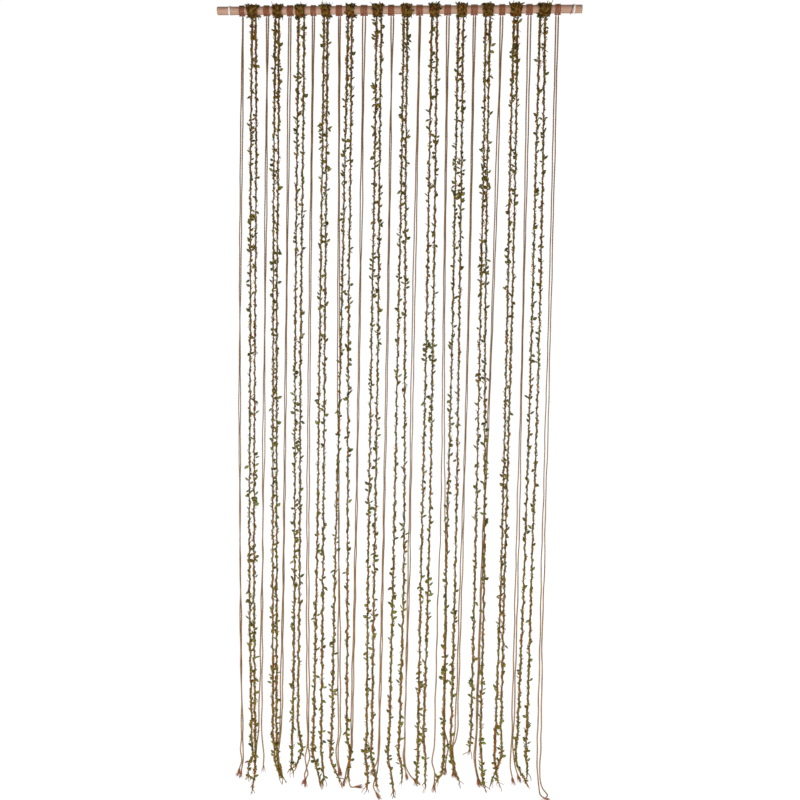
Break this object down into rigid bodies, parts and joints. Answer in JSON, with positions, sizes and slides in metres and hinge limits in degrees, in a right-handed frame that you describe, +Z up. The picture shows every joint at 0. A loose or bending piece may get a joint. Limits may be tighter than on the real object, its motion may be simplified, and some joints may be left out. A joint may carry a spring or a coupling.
{
  "type": "macrame door curtain on a wooden rod",
  "caption": "Door curtain of brown cord pairs and leafy cord garlands hitched by turns along a round wooden rod, hanging free to uneven frayed ends.",
  "frame": {"origin": "on the rod's axis, midway along its length", "axes": "+X along the rod to the viewer's right, +Y away from the viewer, +Z up; the strands hang towards -Z"},
  "size_m": [0.9, 0.0318, 2.0126],
  "materials": {
    "rod_wood": "raw, lightly sanded",
    "brown_cord": "twisted two-ply cord",
    "leaf_garland": "brown cord bound with dull green leaves",
    "white_cord": "soft cotton"
  },
  "bodies": {
    "root": {"rod": "rod_wood", "hanging_band_left": "white_cord", "hanging_band_right": "white_cord", "tie_thread": "brown_cord", "cord_pair_01": "brown_cord", "cord_pair_02": "brown_cord", "cord_pair_03": "brown_cord", "cord_pair_04": "brown_cord", "cord_pair_05": "brown_cord", "cord_pair_06": "brown_cord", "cord_pair_07": "brown_cord", "cord_pair_08": "brown_cord", "cord_pair_09": "brown_cord", "cord_pair_10": "brown_cord", "cord_pair_11": "brown_cord", "cord_pair_12": "brown_cord", "cord_pair_13": "brown_cord", "leaf_pair_01": "leaf_garland", "leaf_pair_02": "leaf_garland", "leaf_pair_03": "leaf_garland", "leaf_pair_04": "leaf_garland", "leaf_pair_05": "leaf_garland", "leaf_pair_06": "leaf_garland", "leaf_pair_07": "leaf_garland", "leaf_pair_08": "leaf_garland", "leaf_pair_09": "leaf_garland", "leaf_pair_10": "leaf_garland", "leaf_pair_11": "leaf_garland", "leaf_pair_12": "leaf_garland"}
  },
  "joints": []
}
